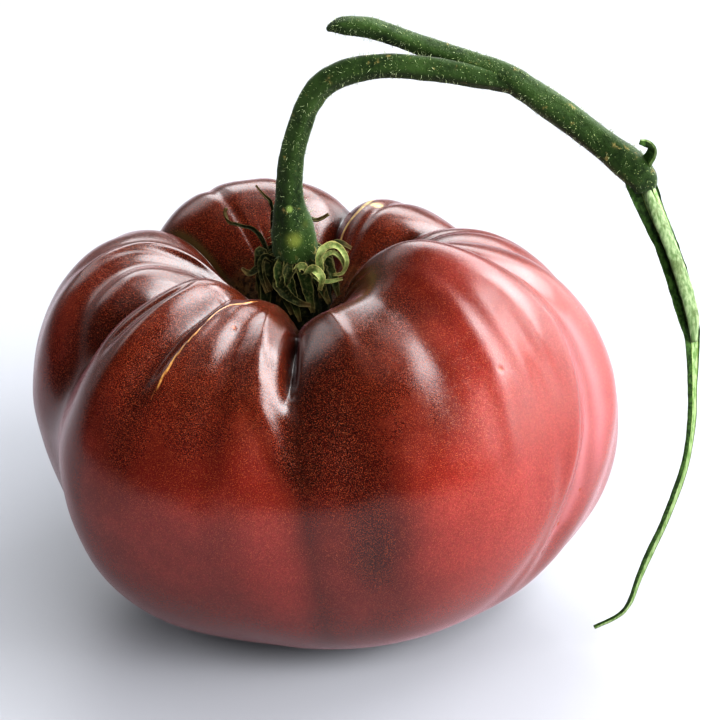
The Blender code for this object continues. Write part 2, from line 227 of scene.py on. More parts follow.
def around(azimuth, table, column):
    """Smooth closed interpolation of one column of the lobes."""
    rows = np.array(sorted((row[0] % 360.0, row[column]) for row in table))
    xs = np.concatenate([rows[:, 0] - 360.0, rows[:, 0], rows[:, 0] + 360.0])
    ys = np.tile(rows[:, 1], 3)
    slope = np.zeros_like(ys)
    slope[1:-1] = (ys[2:] - ys[:-2]) / (xs[2:] - xs[:-2])
    a = azimuth % 360.0
    i = np.clip(np.searchsorted(xs, a, side="right") - 1, 0, len(xs) - 2)
    h = xs[i + 1] - xs[i]
    s = (a - xs[i]) / h
    start = (2 * s**3 - 3 * s**2 + 1) * ys[i] + (s**3 - 2 * s**2 + s) * h * slope[i]
    end = (3 * s**2 - 2 * s**3) * ys[i + 1] + (s**3 - s**2) * h * slope[i + 1]
    return start + end


def turn_between(a, b):
    return np.abs((a - b + 180.0) % 360.0 - 180.0)


def band(azimuth, middle, width):
    """A soft band along one azimuth, from 0 to 1."""
    return np.exp(-((turn_between(azimuth, middle) / width) ** 2))


def spot(azimuth, t, mid_azimuth, mid_t, wide_azimuth, wide_t):
    """A soft round patch of the skin, from 0 to 1."""
    return np.exp(-((turn_between(azimuth, mid_azimuth) / wide_azimuth) ** 2) - ((t - mid_t) / wide_t) ** 2)


def span(t, start, rise, end, fall):
    """1 from start to end, with soft ends."""
    return smooth((t - start) / rise) * (1.0 - smooth((t - end) / fall))


def crease_azimuth(row, t):
    return row[0] + row[1] * smooth((t - 0.5) / 0.5)


def folds(azimuth, t, table):
    """The depth of all the folds of a table."""
    depth = np.zeros_like(azimuth)
    for az_a, t_a, az_b, t_b, width, deep in table:
        along = (t - t_a) / (t_b - t_a)
        middle = az_a + (az_b - az_a) * np.clip(along, 0.0, 1.0)
        depth += deep * span(along, -0.25, 0.5, 0.75, 0.5) * band(azimuth, middle, width)
    return depth


def crease_strength(t, row):
    into_pit = smooth(t / (0.5 * T_CREST))
    upper = 1.0 - smooth((t - T_CREST) / (T_EQUATOR - T_CREST))
    lower = 1.0 - smooth((t - T_EQUATOR) / (0.88 - T_EQUATOR))
    return into_pit * (row[4] * lower + (row[3] - row[4]) * upper)


def relief(azimuth, t):
    """How far the skin sinks below the plain lobes."""
    depth = np.zeros_like(azimuth)
    soften = smooth((t - 0.37) / 0.2)
    for row in CREASES:
        away = turn_between(azimuth, crease_azimuth(row, t))
        power = row[5] + (2.0 - row[5]) * soften
        width = row[2] * (1.0 + 0.4 * soften)
        depth += crease_strength(t, row) * np.exp(-((away / width) ** power))
    return depth + folds(azimuth, t, VALLEYS)


def fruit_surface(azimuth, t, extra):
    """Points of the skin: t runs from the pit over the crest and the equator to the foot."""
    reach = around(azimuth, LOBES, 1)
    crown = around(azimuth, LOBES, 2)
    crest = around(azimuth, LOBES, 3)
    s = np.clip(t / T_CREST, 0.0, 1.0)
    rho_in = PIT_R + (crest - PIT_R) * s
    hollow = HOLLOW + (around(azimuth, LOBES, 4) - HOLLOW) * smooth((s - 0.05) / 0.3)
    z_in = PIT_Z + (crown - PIT_Z) * np.sin(0.5 * math.pi * s) ** hollow
    a = 0.5 * math.pi * np.clip((t - T_CREST) / (T_EQUATOR - T_CREST), 0.0, 1.0)
    rho_up = crest + (reach - crest) * np.abs(np.sin(a)) ** (2.0 / ROUND_UP)
    z_up = EQUATOR_Z + (crown - EQUATOR_Z) * np.abs(np.cos(a)) ** (2.0 / ROUND_UP)
    b = 0.5 * math.pi * np.clip((t - T_EQUATOR) / (1.0 - T_EQUATOR), 0.0, 1.0)
    rho_low = FOOT_R + (reach - FOOT_R) * np.abs(np.cos(b)) ** (2.0 / ROUND_LOW)
    z_low = EQUATOR_Z * (1.0 - np.abs(np.sin(b)) ** (2.0 / ROUND_LOW))
    rho = np.where(t < T_CREST, rho_in, np.where(t < T_EQUATOR, rho_up, rho_low))
    z = np.where(t < T_CREST, z_in, np.where(t < T_EQUATOR, z_up, z_low))
    to_core_rho = CORE * reach - rho
    to_core_z = EQUATOR_Z - z
    size = np.hypot(to_core_rho, to_core_z) + 1e-9
    deep = relief(azimuth, t) + extra
    rho = rho + to_core_rho / size * deep
    z = z + to_core_z / size * deep
    lean = 1.0 - z / LEAN_HEIGHT
    x = rho * np.cos(np.radians(azimuth)) + LEAN_X * lean + AXIS_X
    y = rho * np.sin(np.radians(azimuth)) + LEAN_Y * lean + AXIS_Y
    return np.stack([x, y, z], axis=-1)


def link_mesh(name, points, faces, masks=None):
    """A smooth mesh object from points in millimetres, a list of faces, and masks per point."""
    points = np.asarray(points, float)
    mesh = bpy.data.meshes.new(name)
    sizes = np.array([len(f) for f in faces])
    flat = np.array([i for f in faces for i in f])
    mesh.vertices.add(len(points))
    mesh.vertices.foreach_set("co", (points * MM).astype(np.float32).reshape(-1))
    mesh.loops.add(len(flat))
    mesh.loops.foreach_set("vertex_index", flat.astype(np.int32))
    mesh.polygons.add(len(sizes))
    starts = np.concatenate([[0], np.cumsum(sizes)[:-1]])
    mesh.polygons.foreach_set("loop_start", starts.astype(np.int32))
    mesh.polygons.foreach_set("loop_total", sizes.astype(np.int32))
    mesh.update(calc_edges=True)
    mesh.validate()
    mesh.shade_smooth()
    for key, values in (masks or {}).items():
        layer = mesh.attributes.new(key, "FLOAT", "POINT")
        layer.data.foreach_set("value", np.asarray(values, np.float32).reshape(-1))
    obj = bpy.data.objects.new(name, mesh)
    bpy.context.scene.collection.objects.link(obj)
    return obj


def grid_faces(rows, columns):
    """Quads of a grid of points whose columns close on themselves."""
    i = np.arange(columns)
    k = (i + 1) % columns
    j = np.arange(rows - 1)[:, None]
    here = j * columns
    after = here + columns
    quads = np.stack([here + i, after + i, after + k, here + k], axis=-1)
    return [tuple(f) for f in quads.reshape(-1, 4)]


def capped_faces(rows, columns):
    """The quads, and a fan at each end round two more points that follow the grid's own."""
    faces = grid_faces(rows, columns)
    first = rows * columns
    last = (rows - 1) * columns
    for i in range(columns):
        k = (i + 1) % columns
        faces.append((first, i, k))
        faces.append((first + 1, last + k, last + i))
    return faces


def colour_masks(az, t, plain):
    """Where each colour of the skin lies, and where shade and highlights are painted on it, from 0 to 1."""
    # painted shade: the dark floors of the deep creases
    deep = np.zeros_like(az)
    for row in (CREASES[0], *CREASES[3:-1]):
        away = turn_between(az, crease_azimuth(row, t))
        floor = crease_strength(t, row) / (row[3] + 0.5) * np.exp(-((away / 2.2) ** 1.2))
        deep = np.maximum(deep, floor)
    green = crease_strength(t, CREASES[5]) / 6.0 * band(az, *GREEN_LINE) * smooth((0.42 - t) / 0.1)
    reach = around(az, BROWN_REACH, 1) + 0.05 * noise3(plain, 16.0, 9) + 0.02 * noise3(plain, 5.0, 10)
    rosy = np.zeros_like(az)
    for mid_az, mid_t, wide_az, wide_t, strong in ROSY:
        rosy += strong * spot(az, t, mid_az, mid_t, wide_az, wide_t)
    # pale bloom with painted sheen, and painted highlight streaks along the ridges of the right flank
    bloom_and_highlight = 0.3 * spot(az, t, *BLOOM_AND_SHEEN)
    for highlight_t, highlight_az in HIGHLIGHT_STREAKS:
        middle = np.interp(t, highlight_t, highlight_az)
        bloom_and_highlight += 0.7 * span(t, highlight_t[0], 0.06, highlight_t[-1] - 0.08, 0.08) * band(az, middle, HIGHLIGHT_STREAK_WIDTH)
    basin = smooth((0.17 - t + 0.05 * noise3(plain, 4.0, 13)) / 0.09)
    # painted shade: dark stripes down the valleys and creases
    valley_shade = folds(az, t, VALLEY_SHADE_STRIPES) * (1.0 + 0.3 * noise3(plain, 6.0, 12))
    return {
        "deep": deep,
        "green": green,
        "shoulder": smooth((0.36 - t) / 0.3),
        "brown": smooth((reach - t) / 0.32 + 0.5),
        "valley_shade": np.clip(valley_shade, 0.0, 1.0),
        "rosy": np.clip(rosy, 0.0, 1.0),
        "basin": basin * (0.45 + 0.55 * band(az, 140.0, 60.0)),
        "bloom_and_highlight": bloom_and_highlight,
    }


def make_fruit():
    """The skin over the solid, with its fine relief and the masks that colour it."""
    even = np.linspace(0.0, 360.0, COLUMNS, endpoint=False)
    rows = np.concatenate([
        np.linspace(0.0, T_CREST, ROWS_PIT, endpoint=False),
        np.linspace(T_CREST, T_EQUATOR, ROWS_UP, endpoint=False),
        np.linspace(T_EQUATOR, 1.0, ROWS_LOW),
    ])
    az, t = np.meshgrid(even, rows)
    az = az + band(az, 0.0, RIGHT_WIDTH) * crease_azimuth(RIGHT_DRIFT, t) * RIGHT_SHARE
    plain = fruit_surface(az, t, np.zeros_like(az))
    # unevenness, which fades out towards the flat foot
    fade = smooth((0.985 - t) / 0.05)
    extra = folds(az, t, FINE_FOLDS)
    extra += fade * (0.16 * noise3(plain, 13.0) + 0.07 * noise3(plain, 5.0, 1))
    # fine wrinkles that run up the walls of the hollow
    ring = np.stack([az * 0.9, t * 40.0, np.zeros_like(az)], axis=-1)
    near_pit = smooth((0.26 - t) / 0.16) * smooth(t / 0.03)
    extra += 0.13 * near_pit * noise3(ring, 2.2, 2)
    # the corky crack on the front left rib and the scar in the back crease
    wander = noise3(np.stack([t * 60.0, az * 0.0, az * 0.0], axis=-1), 2.0, 3)
    crack_line = np.interp(t, CRACK_T, CRACK_AZIMUTH) + 0.35 * wander
    crack_width = CRACK_WIDTH - CRACK_NARROWING * smooth((t - 0.28) / 0.15)
    crack = span(t, *CRACK_SPAN) * band(az, crack_line, crack_width)
    crack *= np.clip(0.8 + 0.6 * noise3(plain, 1.6, 4), 0.0, 1.0)
    scar_line = SCAR_AZIMUTH - SCAR_DRIFT * smooth((t - 0.19) / 0.11) - 0.7 * wander
    scar = span(t, *SCAR_SPAN) * band(az, scar_line, SCAR_WIDTH)
    scar = np.clip(scar + spot(az, t, *SCAR_END) * (0.32 + 0.6 * noise3(plain, 2.0, 5)), 0.0, 1.0)
    extra += -0.12 * crack - 0.08 * scar + 0.05 * crack * noise3(plain, 0.9, 6)
    # pits
    mark = np.zeros_like(az)
    for pit_az, pit_t, radius in PITS:
        i = int(np.argmin(np.abs(rows - pit_t)))
        j = int(np.argmin(turn_between(az[i], pit_az)))
        away = np.linalg.norm(plain - plain[i, j], axis=-1)
        mark += np.exp(-((away / radius) ** 2))
        extra += 0.16 * np.exp(-((away / (0.7 * radius)) ** 2))
    flat = fruit_surface(az, t, extra).reshape(-1, 3)
    caps = np.array([flat[:COLUMNS].mean(axis=0), flat[-COLUMNS:].mean(axis=0)])
    caps[1][2] = 0.0
    masks = colour_masks(az, t, plain)
    masks.update({"crack": crack, "scar": scar, "mark": np.clip(mark, 0.0, 1.0)})
    for key, values in masks.items():
        line = values.reshape(-1)
        masks[key] = np.concatenate([line, [line[0], line[-1]]])
    return link_mesh("tomato_skin", np.vstack([flat, caps]), capped_faces(len(rows), COLUMNS), masks)


# shader helpers
def material(name):
    made = bpy.data.materials.new(name)
    made.use_nodes = True
    tree = made.node_tree
    shader = tree.nodes["Principled BSDF"]
    return made, tree, shader


def attribute(tree, name):
    node = tree.nodes.new("ShaderNodeAttribute")
    node.attribute_name = name
    return node.outputs["Fac"]


def object_coordinates(tree):
    return tree.nodes.new("ShaderNodeTexCoord").outputs["Object"]


def noise_node(tree, vector, per_mm, detail=3.0, rough=0.55):
    node = tree.nodes.new("ShaderNodeTexNoise")
    node.inputs["Scale"].default_value = per_mm / MM
    node.inputs["Detail"].default_value = detail
    node.inputs["Roughness"].default_value = rough
    tree.links.new(vector, node.inputs["Vector"])
    return node.outputs["Fac"]


def cells_node(tree, vector, per_mm):
    node = tree.nodes.new("ShaderNodeTexVoronoi")
    node.inputs["Scale"].default_value = per_mm / MM
    tree.links.new(vector, node.inputs["Vector"])
    return node.outputs["Distance"]


def remap(tree, value, low, high, to_low=0.0, to_high=1.0):
    node = tree.nodes.new("ShaderNodeMapRange")
    node.interpolation_type = "SMOOTHSTEP"
    node.inputs["From Min"].default_value = low
    node.inputs["From Max"].default_value = high
    node.inputs["To Min"].default_value = to_low
    node.inputs["To Max"].default_value = to_high
    tree.links.new(value, node.inputs["Value"])
    return node.outputs["Result"]


def maths(tree, operation, a, b):
    node = tree.nodes.new("ShaderNodeMath")
    node.operation = operation
    for slot, value in zip(node.inputs, (a, b)):
        if isinstance(value, (int, float)):
            slot.default_value = value
        else:
            tree.links.new(value, slot)
    return node.outputs["Value"]


def mix(tree, factor, a, b):
    node = tree.nodes.new("ShaderNodeMix")
    node.data_type = "RGBA"
    for slot, value in ((node.inputs[0], factor), (node.inputs[6], a), (node.inputs[7], b)):
        if isinstance(value, tuple):
            slot.default_value = (*value, 1.0)
        elif isinstance(value, (int, float)):
            slot.default_value = value
        else:
            tree.links.new(value, slot)
    return node.outputs[2]


def times(tree, a, b):
    return maths(tree, "MULTIPLY", a, b)


def plus(tree, a, b):
    return maths(tree, "ADD", a, b)


def masked(tree, name, share):
    """A mask of the mesh, times a share."""
    return times(tree, attribute(tree, name), share)


def stretched(tree, vector, share):
    """Coordinates in which a pattern is drawn out along the height."""
    node = tree.nodes.new("ShaderNodeMapping")
    node.inputs["Scale"].default_value = (1.0, 1.0, share)
    tree.links.new(vector, node.inputs["Vector"])
    return node.outputs["Vector"]


def settings(shader, **values):
    """Sets the shader's own sockets, where a _ in a name stands for a space."""
    for key, value in values.items():
        shader.inputs[key.replace("_", " ")].default_value = value


def bump(tree, shader, height, distance_mm, strength=1.0):
    node = tree.nodes.new("ShaderNodeBump")
    node.inputs["Distance"].default_value = distance_mm * MM
    node.inputs["Strength"].default_value = strength
    tree.links.new(height, node.inputs["Height"])
    tree.links.new(node.outputs["Normal"], shader.inputs["Normal"])


# colours of the skin
RED = (0.1, 0.0105, 0.0092)
RED_DEEP = (0.066, 0.0068, 0.006)
RED_FRESH = (0.137, 0.019, 0.016)
BROWN_DARK = (0.015, 0.0025, 0.001)
BROWN_WARM = (0.036, 0.0062, 0.0022)
ROSE = (0.17, 0.022, 0.019)
ROSE_DEEP = (0.13, 0.0165, 0.0145)
# painted shade of the valleys and creases
VALLEY_SHADE = (0.0078, 0.0013, 0.0013)
MOTTLE = (0.058, 0.0078, 0.0039)
GOLD_DOT = (0.24, 0.068, 0.025)
GOLD_GRAIN = (0.3, 0.09, 0.036)
# painted shade of the crease floors
CREASE_SHADE = (0.013, 0.0026, 0.0013)
CREASE_GREEN = (0.042, 0.036, 0.012)
# pale bloom, painted sheen and painted highlight streaks
BLOOM_AND_HIGHLIGHT_PALE = (0.32, 0.135, 0.15)
BASIN_CORK = (0.085, 0.048, 0.018)
BASIN_DARK = (0.018, 0.0085, 0.003)
CRACK_GOLD = (0.31, 0.165, 0.055)
SCAR_PALE = (0.442, 0.364, 0.156)
SCAR_DARK = (0.26, 0.156, 0.065)
PIT_RED = (0.13, 0.026, 0.0078)


def skin_material():
    made, tree, shader = material("tomato_skin")
    where = object_coordinates(tree)
    broad = noise_node(tree, where, 0.035, 3.0)
    middle = noise_node(tree, where, 0.16, 4.0)
    fine = noise_node(tree, where, 2.2, 3.0, 0.6)
    grain = noise_node(tree, where, 6.5, 2.0, 0.6)
    red = mix(tree, remap(tree, broad, 0.35, 0.66), RED, RED_DEEP)
    red = mix(tree, remap(tree, middle, 0.42, 0.72, 0.0, 0.5), red, RED_FRESH)
    brown = mix(tree, remap(tree, middle, 0.35, 0.7), BROWN_DARK, BROWN_WARM)
    rosy = mix(tree, remap(tree, broad, 0.35, 0.65), ROSE, ROSE_DEEP)
    red = mix(tree, masked(tree, "rosy", 0.8), red, rosy)
    colour = mix(tree, masked(tree, "brown", 0.92), red, brown)
    # painted shade darkens the valleys and creases
    colour = mix(tree, masked(tree, "valley_shade", 0.95), colour, VALLEY_SHADE)
    # fine golden grain over darker skin
    dot = remap(tree, cells_node(tree, where, 5.2), 0.10, 0.42, 1.0, 0.0)
    scatter = remap(tree, noise_node(tree, where, 0.6, 3.0), 0.36, 0.64, 0.25, 1.0)
    dots = times(tree, dot, scatter)
    colour = mix(tree, remap(tree, fine, 0.42, 0.60, 0.3, 0.0), colour, MOTTLE)
    colour = mix(tree, times(tree, dots, 0.26), colour, GOLD_DOT)
    colour = mix(tree, remap(tree, grain, 0.52, 0.68, 0.0, 0.3), colour, GOLD_GRAIN)
    # painted shade on the floors of the creases, the bloom with its painted sheen and highlight streaks, the
    # hollow, the corky crack and scar, and the pits
    colour = mix(tree, masked(tree, "deep", 0.9), colour, CREASE_SHADE)
    colour = mix(tree, masked(tree, "green", 0.55), colour, CREASE_GREEN)
    colour = mix(tree, masked(tree, "bloom_and_highlight", 0.34), colour, BLOOM_AND_HIGHLIGHT_PALE)
    cork = remap(tree, noise_node(tree, where, 1.1, 4.0, 0.7), 0.35, 0.62)
    basin = mix(tree, cork, BASIN_CORK, BASIN_DARK)
    colour = mix(tree, masked(tree, "basin", 0.9), colour, basin)
    crack = remap(tree, attribute(tree, "crack"), 0.12, 0.6)
    crack = times(tree, crack, remap(tree, cork, 0.0, 1.0, 0.5, 1.0))
    colour = mix(tree, crack, colour, CRACK_GOLD)
    scar = remap(tree, attribute(tree, "scar"), 0.25, 0.75, 0.0, 0.9)
    colour = mix(tree, scar, colour, mix(tree, cork, SCAR_PALE, SCAR_DARK))
    colour = mix(tree, remap(tree, attribute(tree, "mark"), 0.35, 0.8, 0.0, 0.9), colour, PIT_RED)
    tree.links.new(colour, shader.inputs["Base Color"])
    # rougher on cork and on the shoulder, and where the skin is ripe
    rough = remap(tree, middle, 0.3, 0.7, 0.14, 0.2)
    rough = plus(tree, masked(tree, "scar", 0.4), rough)
    rough = plus(tree, masked(tree, "shoulder", 0.06), rough)
    ripe = times(tree, maths(tree, "SUBTRACT", 1.0, attribute(tree, "brown")), 0.06)
    tree.links.new(plus(tree, rough, ripe), shader.inputs["Roughness"])
    settings(shader, IOR=1.6, Sheen_Weight=0.09, Sheen_Tint=(1.0, 0.5, 0.6, 1.0), Sheen_Roughness=0.25)
    settings(shader, Coat_Weight=0.05, Coat_Roughness=0.18, Coat_IOR=1.5)
    settings(shader, Subsurface_Weight=0.06, Subsurface_Radius=(1.0, 0.18, 0.08), Subsurface_Scale=2.2 * MM)
    height = plus(tree, times(tree, fine, 0.5), times(tree, dots, -0.35))
    height = plus(tree, height, times(tree, grain, 0.35))
    bump(tree, shader, height, 0.05, 0.7)
    return made


# stems
def spline(controls, count):
    """A smooth curve through rows of numbers, spaced evenly along its first three."""
    p = np.array(controls, float)
    q = np.vstack([2 * p[0] - p[1], p, 2 * p[-1] - p[-2]])
    fine = []
    for i in range(1, len(q) - 2):
        for s in np.linspace(0.0, 1.0, 30, endpoint=False):
            a, b, c, d = q[i - 1], q[i], q[i + 1], q[i + 2]
            square = (2 * a - 5 * b + 4 * c - d) * s**2
            cube = (3 * b - a - 3 * c + d) * s**3
            fine.append(0.5 * (2 * b + (c - a) * s + square + cube))
    fine.append(p[-1])
    fine = np.array(fine)
    step = np.linalg.norm(np.diff(fine[:, :3], axis=0), axis=1)
    run = np.concatenate([[0.0], np.cumsum(step)])
    want = np.linspace(0.0, run[-1], count)
    return np.stack([np.interp(want, run, fine[:, c]) for c in range(fine.shape[1])], axis=1)


def frames(path, facing):
    """Sideways and facing directions along a path."""
    tangent = np.gradient(path, axis=0)
    tangent /= np.linalg.norm(tangent, axis=1, keepdims=True)
    side = np.cross(tangent, np.array(facing, float))
    side /= np.linalg.norm(side, axis=1, keepdims=True)
    return side, np.cross(side, tangent)


def ring_mesh(name, rings, masks):
    """A closed skin over rings, with a middle point at each end."""
    rings = np.asarray(rings, float)
    rows, columns = rings.shape[:2]
    faces = capped_faces(rows, columns)
    points = np.vstack([rings.reshape(-1, 3), [rings[0].mean(axis=0)], [rings[-1].mean(axis=0)]])
    p = points[np.array([f[:3] for f in faces])]
    if np.einsum("ij,ij->i", p[:, 0], np.cross(p[:, 1], p[:, 2])).sum() < 0:
        faces = [tuple(reversed(f)) for f in faces]
    full = {}
    for key, values in masks.items():
        flat = np.broadcast_to(values, (rows, columns)).reshape(-1)
        full[key] = np.concatenate([flat, [flat[0], flat[-1]]])
    return link_mesh(name, points, faces, full)


def stem_tube(name, controls, count, ridges, ridge_height, seed):
    """A round stem with lengthwise ridges and small lumps, and its skin and outward directions."""
    rows = spline(controls, count)
    side, face = frames(rows[:, :3], STEM_FACING)
    turn = np.linspace(0.0, 2.0 * math.pi, STEM_SIDES, endpoint=False)[None, :]
    along = np.linspace(0.0, 1.0, count)[:, None]
    radius = rows[:, 3][:, None]
    ridge = np.cos(ridges * turn + 5.0 * along + seed)
    wave = 1.0 + ridge_height * ridge
    out = np.cos(turn)[..., None] * side[:, None, :] + np.sin(turn)[..., None] * face[:, None, :]
    centre = rows[:, None, :3]
    skin = centre + out * (radius * wave)[..., None]
    lumps = 0.07 * noise3(skin, 1.6, seed) + 0.035 * noise3(skin, 0.6, seed + 1)
    skin = skin + out * (lumps * np.minimum(1.0, radius))[..., None]
    masks = {"ridge": 0.5 + 0.5 * ridge}
    for key, spots in (("bare", BARE), ("yellowed", YELLOWED)):
        total = np.zeros(skin.shape[:2])
        for x, y, z, size in spots:
            total += np.exp(-((np.linalg.norm(skin - np.array([x, y, z]), axis=-1) / size) ** 2))
        masks[key] = total
    return ring_mesh(name, skin, masks), skin, out


def ribbon_rings(controls, count, half, facing, edge_noise, seed):
    """Rings of a flat strip with a rounded back and face, and slightly uneven edges."""
    rows = spline(controls, count)
    side, face = frames(rows[:, :3], facing)
    rings = []
    for row, u, v in zip(rows, side, face):
        centre = row[:3]
        width, behind, rise = row[3:6]
        ring = []
        for i in range(half + 1):
            turn = math.pi * i / half
            ring.append(centre - 0.5 * width * math.cos(turn) * u - behind * math.sin(turn) * v)
        for i in range(1, half):
            turn = math.pi * i / half
            ring.append(centre + 0.5 * width * math.cos(turn) * u + rise * math.sin(turn) * v)
        rings.append(ring)
    rings = np.array(rings)
    centre = rows[:, None, :3]
    shift = 1.0 + edge_noise * noise3(rings, 1.1, seed)[..., None]
    return centre + (rings - centre) * shift


# stems, as rows of x, y, z and radius
STEM_SIDES = 56
STEM_FACING = (0.3, -1.0, 0.2)
PEDICEL = [
    (-5.6, 3.5, 59.8, 2.7),
    (-5.8, 3.5, 61.2, 3.3),
    (-6.0, 3.5, 63.0, 3.75),
    (-6.2, 3.5, 65.4, 3.7),
    (-6.4, 3.5, 67.8, 3.4),
    (-6.8, 3.5, 70.2, 2.85),
    (-6.9, 3.5, 72.6, 2.35),
    (-6.9, 3.5, 75.3, 2.2),
    (-6.6, 3.5, 79.3, 2.05),
    (-5.7, 3.5, 83.5, 1.95),
    (-4.2, 3.5, 88.5, 1.95),
    (-2.0, 3.4, 92.4, 2.05),
    (1.0, 3.0, 94.8, 2.1),
    (4.6, 2.5, 96.2, 2.05),
    (9.4, 1.9, 97.0, 1.95),
    (14.2, 1.1, 97.0, 1.95),
    (19.0, 0.3, 96.7, 1.9),
    (24.0, -0.7, 96.1, 1.8),
    (28.0, -1.2, 95.4, 1.6),
    (31.5, -2.2, 94.2, 1.2),
]
TRUSS = [
    (-0.6, 6.5, 101.2, 0.35),
    (0.6, 6.3, 101.8, 1.0),
    (2.3, 6.0, 102.1, 1.45),
    (6.4, 5.5, 101.9, 1.6),
    (10.6, 4.5, 100.8, 1.55),
    (14.5, 3.5, 99.7, 1.6),
    (18.7, 2.5, 98.7, 1.6),
    (23.4, 1.0, 97.5, 1.8),
    (27.7, -0.5, 96.3, 2.0),
    (32.4, -2.5, 93.9, 2.2),
    (37.4, -4.5, 91.0, 2.35),
    (42.6, -7.0, 87.8, 2.35),
    (46.3, -9.0, 85.6, 2.75),
    (48.9, -10.7, 83.5, 2.6),
    (49.7, -11.4, 81.5, 1.8),
]
# bare and yellowed places on the stems: middle, radius
BARE = [(-6.9, 0.6, 71.9, 0.75)]
YELLOWED = [(-6.3, 0.0, 66.6, 1.7), (-3.9, 0.6, 69.2, 1.0)]
# torn skin at the vine's end, as rows of x, y, z, width, thickness of the back and rise of the face
STRIP = [
    (48.5, -10.6, 84.0, 5.4, 1.6, 0.6),
    (49.7, -11.7, 81.0, 4.9, 1.7, -0.5),
    (51.0, -12.9, 78.0, 4.4, 1.6, -0.7),
    (53.5, -14.7, 72.7, 3.9, 1.5, -0.7),
    (55.4, -16.7, 67.5, 4.0, 1.4, -0.6),
    (57.0, -18.3, 62.2, 3.5, 1.2, -0.5),
    (57.8, -19.2, 58.6, 2.6, 0.9, -0.2),
    (58.1, -20.7, 50.8, 1.7, 0.6, 0.2),
    (58.2, -21.9, 45.3, 1.6, 0.5, 0.2),
    (57.7, -22.9, 39.1, 1.4, 0.5, 0.2),
    (56.6, -23.4, 33.8, 1.5, 0.5, 0.2),
    (54.6, -23.6, 26.5, 1.4, 0.5, 0.2),
    (52.4, -23.6, 20.0, 1.4, 0.5, 0.2),
    (51.0, -23.6, 15.3, 1.2, 0.4, 0.2),
    (49.8, -23.6, 10.6, 1.0, 0.4, 0.2),
    (48.0, -23.6, 7.9, 0.8, 0.4, 0.2),
    (44.1, -23.6, 5.5, 0.7, 0.4, 0.2),
]
PITH = [
    (49.9, -12.3, 82.4, 0.7, 0.4, 0.4),
    (50.5, -12.8, 80.6, 1.5, 0.5, 0.5),
    (51.8, -13.8, 77.8, 2.2, 0.5, 0.5),
    (54.2, -15.4, 72.6, 2.3, 0.5, 0.5),
    (56.2, -17.3, 67.4, 2.4, 0.5, 0.5),
    (57.6, -18.8, 62.6, 2.2, 0.4, 0.4),
    (58.0, -19.6, 58.6, 1.2, 0.3, 0.3),
]
CURL = [
    (48.2, -9.9, 84.0, 2.6, 0.35, 0.1),
    (49.8, -11.1, 86.5, 2.2, 0.30, 0.05),
    (50.4, -11.7, 88.5, 1.9, 0.30, 0.05),
    (49.6, -12.1, 89.8, 1.4, 0.25, 0.05),
    (48.3, -12.1, 90.2, 0.8, 0.2, 0.05),
]
PEEL = [
    (50.4, -11.3, 83.2, 0.8, 0.4, 0.3),
    (51.9, -12.6, 79.6, 1.3, 0.5, 0.3),
    (53.6, -13.9, 75.4, 1.7, 0.5, 0.3),
    (55.6, -15.4, 69.8, 1.9, 0.5, 0.3),
    (57.3, -16.9, 64.6, 1.9, 0.5, 0.3),
    (58.2, -18.0, 60.9, 1.7, 0.4, 0.3),
]
STRIP_FACING = (0.35, -0.85, 0.45)
# ribbons: name, rows, rings, steps across, facing, unevenness, seed, and which share of the width is torn
RIBBONS = [
    ("torn_strip", STRIP, 260, 12, STRIP_FACING, 0.05, 4, (-0.72, 0.12)),
    ("torn_peel", PEEL, 110, 8, (0.75, -0.55, 0.35), 0.08, 9, (-0.2, 0.9)),
    ("curl", CURL, 50, 8, (-0.6, -0.7, 0.3), 0.06, 6, (0.55, 1.2)),
]
# colours of the stems and of the torn skin
STEM_DARK = (0.0059, 0.012, 0.0039)
STEM_LIGHT = (0.026, 0.047, 0.013)
STEM_FLECK = (0.221, 0.26, 0.111)
STEM_WORN = (0.26, 0.195, 0.078)
STEM_YELLOW = (0.182, 0.195, 0.046)
STEM_BARE = (0.11, 0.15, 0.045)
STRIP_DARK = (0.0085, 0.019, 0.005)
STRIP_LIGHT = (0.036, 0.07, 0.018)
FLESH_GREEN = (0.085, 0.14, 0.048)
FLESH_PALE = (0.18, 0.235, 0.12)
TORN_RIM = (0.221, 0.234, 0.058)
PITH_GREEN = (0.065, 0.1, 0.042)
PITH_PALE = (0.155, 0.195, 0.11)
PITH_BLOT = (0.045, 0.062, 0.022)
HAIR_DARK = (0.182, 0.221, 0.104)
HAIR_LIGHT = (0.442, 0.494, 0.312)


def stem_material():
    made, tree, shader = material("stem_green")
    where = object_coordinates(tree)
    broad = noise_node(tree, where, 0.12, 3.0)
    fine = noise_node(tree, where, 1.3, 4.0, 0.65)
    colour = mix(tree, remap(tree, broad, 0.3, 0.7), STEM_DARK, STEM_LIGHT)
    colour = mix(tree, remap(tree, fine, 0.35, 0.7, 0.0, 0.5), colour, STEM_LIGHT)
    ridge = remap(tree, attribute(tree, "ridge"), 0.3, 1.0, 0.0, 0.35)
    colour = mix(tree, ridge, colour, STEM_LIGHT)
    dot = remap(tree, cells_node(tree, where, 2.0), 0.06, 0.30, 1.0, 0.0)
    scatter = remap(tree, noise_node(tree, where, 0.5, 3.0), 0.42, 0.60)
    dots = times(tree, dot, scatter)
    colour = mix(tree, times(tree, dots, 0.6), colour, STEM_FLECK)
    worn = remap(tree, noise_node(tree, where, 0.45, 4.0, 0.7), 0.60, 0.74, 0.0, 0.6)
    colour = mix(tree, worn, colour, STEM_WORN)
    yellowed = remap(tree, attribute(tree, "yellowed"), 0.2, 1.0, 0.0, 0.4)
    colour = mix(tree, yellowed, colour, STEM_YELLOW)
    colour = mix(tree, remap(tree, attribute(tree, "bare"), 0.2, 0.7), colour, STEM_BARE)
    tree.links.new(colour, shader.inputs["Base Color"])
    settings(shader, Roughness=0.55, Specular_IOR_Level=0.25, Sheen_Weight=0.12, Sheen_Roughness=0.4)
    bump(tree, shader, plus(tree, times(tree, fine, 0.8), times(tree, dots, 0.5)), 0.2)
    return made


